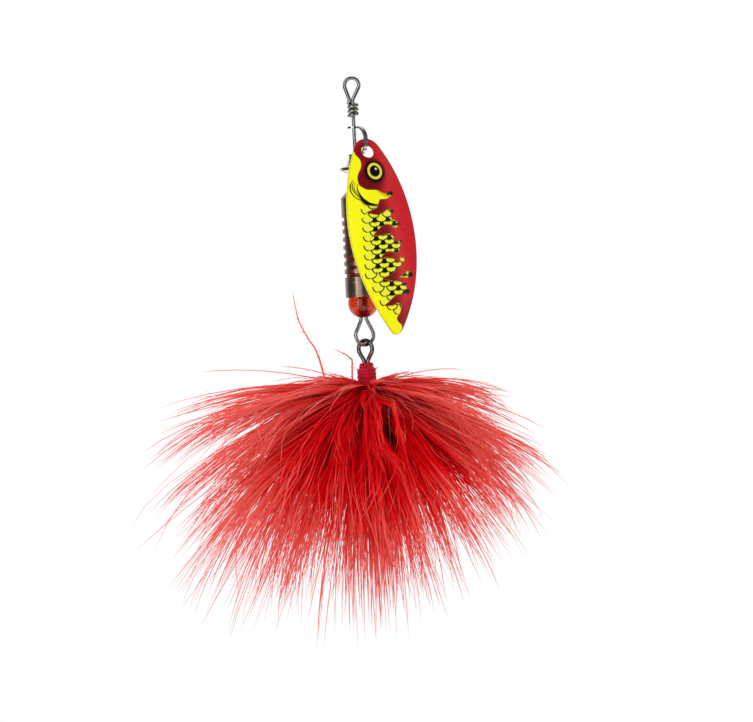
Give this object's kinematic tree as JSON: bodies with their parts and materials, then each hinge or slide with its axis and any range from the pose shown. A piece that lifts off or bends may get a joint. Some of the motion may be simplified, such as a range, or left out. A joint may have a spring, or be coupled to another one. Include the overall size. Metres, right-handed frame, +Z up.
{
  "type": "inline spinner lure",
  "caption": "Inline spinner: a wire shaft with a turned body, beads and a swinging leaf blade on a clevis, ending in a treble hook dressed with red marabou plumes.",
  "frame": {"origin": "centre of the line eye's round part, on the wire shaft's axis", "axes": "+Z up along the wire shaft towards the fishing line, -Y the side that the painted blade faces, +X to the right seen from that side"},
  "size_m": [0.0818, 0.0582, 0.1133],
  "materials": {
    "nickel_wire": "bright nickel-plated stainless wire",
    "nickel_strip": "bright dark-nickel plated strip",
    "painted_blade": "glossy lacquer, yellow belly and red back, plain nickel behind",
    "bearing_brass": "polished",
    "bead_brass": "polished",
    "bronzed_brass": "dark bronzed, satin",
    "red_glass": "clear, glossy",
    "black_nickel": "bright black nickel",
    "tying_thread": "tight waxed thread",
    "red_marabou": "soft dyed down, matte"
  },
  "bodies": {
    "shaft": {"wire_shaft": "nickel_wire"},
    "bearing": {"hub_bearing": "bearing_brass"},
    "clevis": {"clevis": "nickel_strip"},
    "blade": {"blade": "painted_blade"},
    "spacer": {"spacer_bead": "bead_brass"},
    "body": {"body": "bronzed_brass"},
    "bead": {"glass_bead": "red_glass"},
    "hook": {"hook_double": "black_nickel", "hook_single": "black_nickel", "thread_binding": "tying_thread", "plume_right_front": "red_marabou", "plume_right": "red_marabou", "plume_right_back": "red_marabou", "plume_back": "red_marabou", "plume_back_left": "red_marabou", "plume_left_back": "red_marabou", "plume_left_front": "red_marabou", "plume_front_left": "red_marabou", "plume_front": "red_marabou"}
  },
  "joints": [
    {"name": "bearing_lift", "type": "slide", "parent": "shaft", "child": "bearing", "axis": [0, 0, 1], "range_m": [0, 0.00168]},
    {"name": "clevis_spin", "type": "hinge", "parent": "bearing", "child": "clevis", "pos_m": [0, 0, -0.01392], "axis": [0, 0, 1], "continuous": true},
    {"name": "blade_swing", "type": "hinge", "parent": "clevis", "child": "blade", "pos_m": [0.00189, -0.00242, -0.01299], "axis": [-0.9272, -0.3746, 0], "range_deg": [0, 60]},
    {"name": "spacer_spin", "type": "hinge", "parent": "shaft", "child": "spacer", "pos_m": [0, 0, -0.01959], "axis": [0, 0, 1], "continuous": true},
    {"name": "body_spin", "type": "hinge", "parent": "shaft", "child": "body", "pos_m": [0, 0, -0.02093], "axis": [0, 0, 1], "continuous": true},
    {"name": "bead_spin", "type": "hinge", "parent": "shaft", "child": "bead", "pos_m": [0, 0, -0.04327], "axis": [0, 0, 1], "continuous": true},
    {"name": "hook_swing", "type": "hinge", "parent": "shaft", "child": "hook", "pos_m": [0, 0, -0.05157], "axis": [0.9063, 0.4226, 0], "range_deg": [-35, 35]}
  ]
}
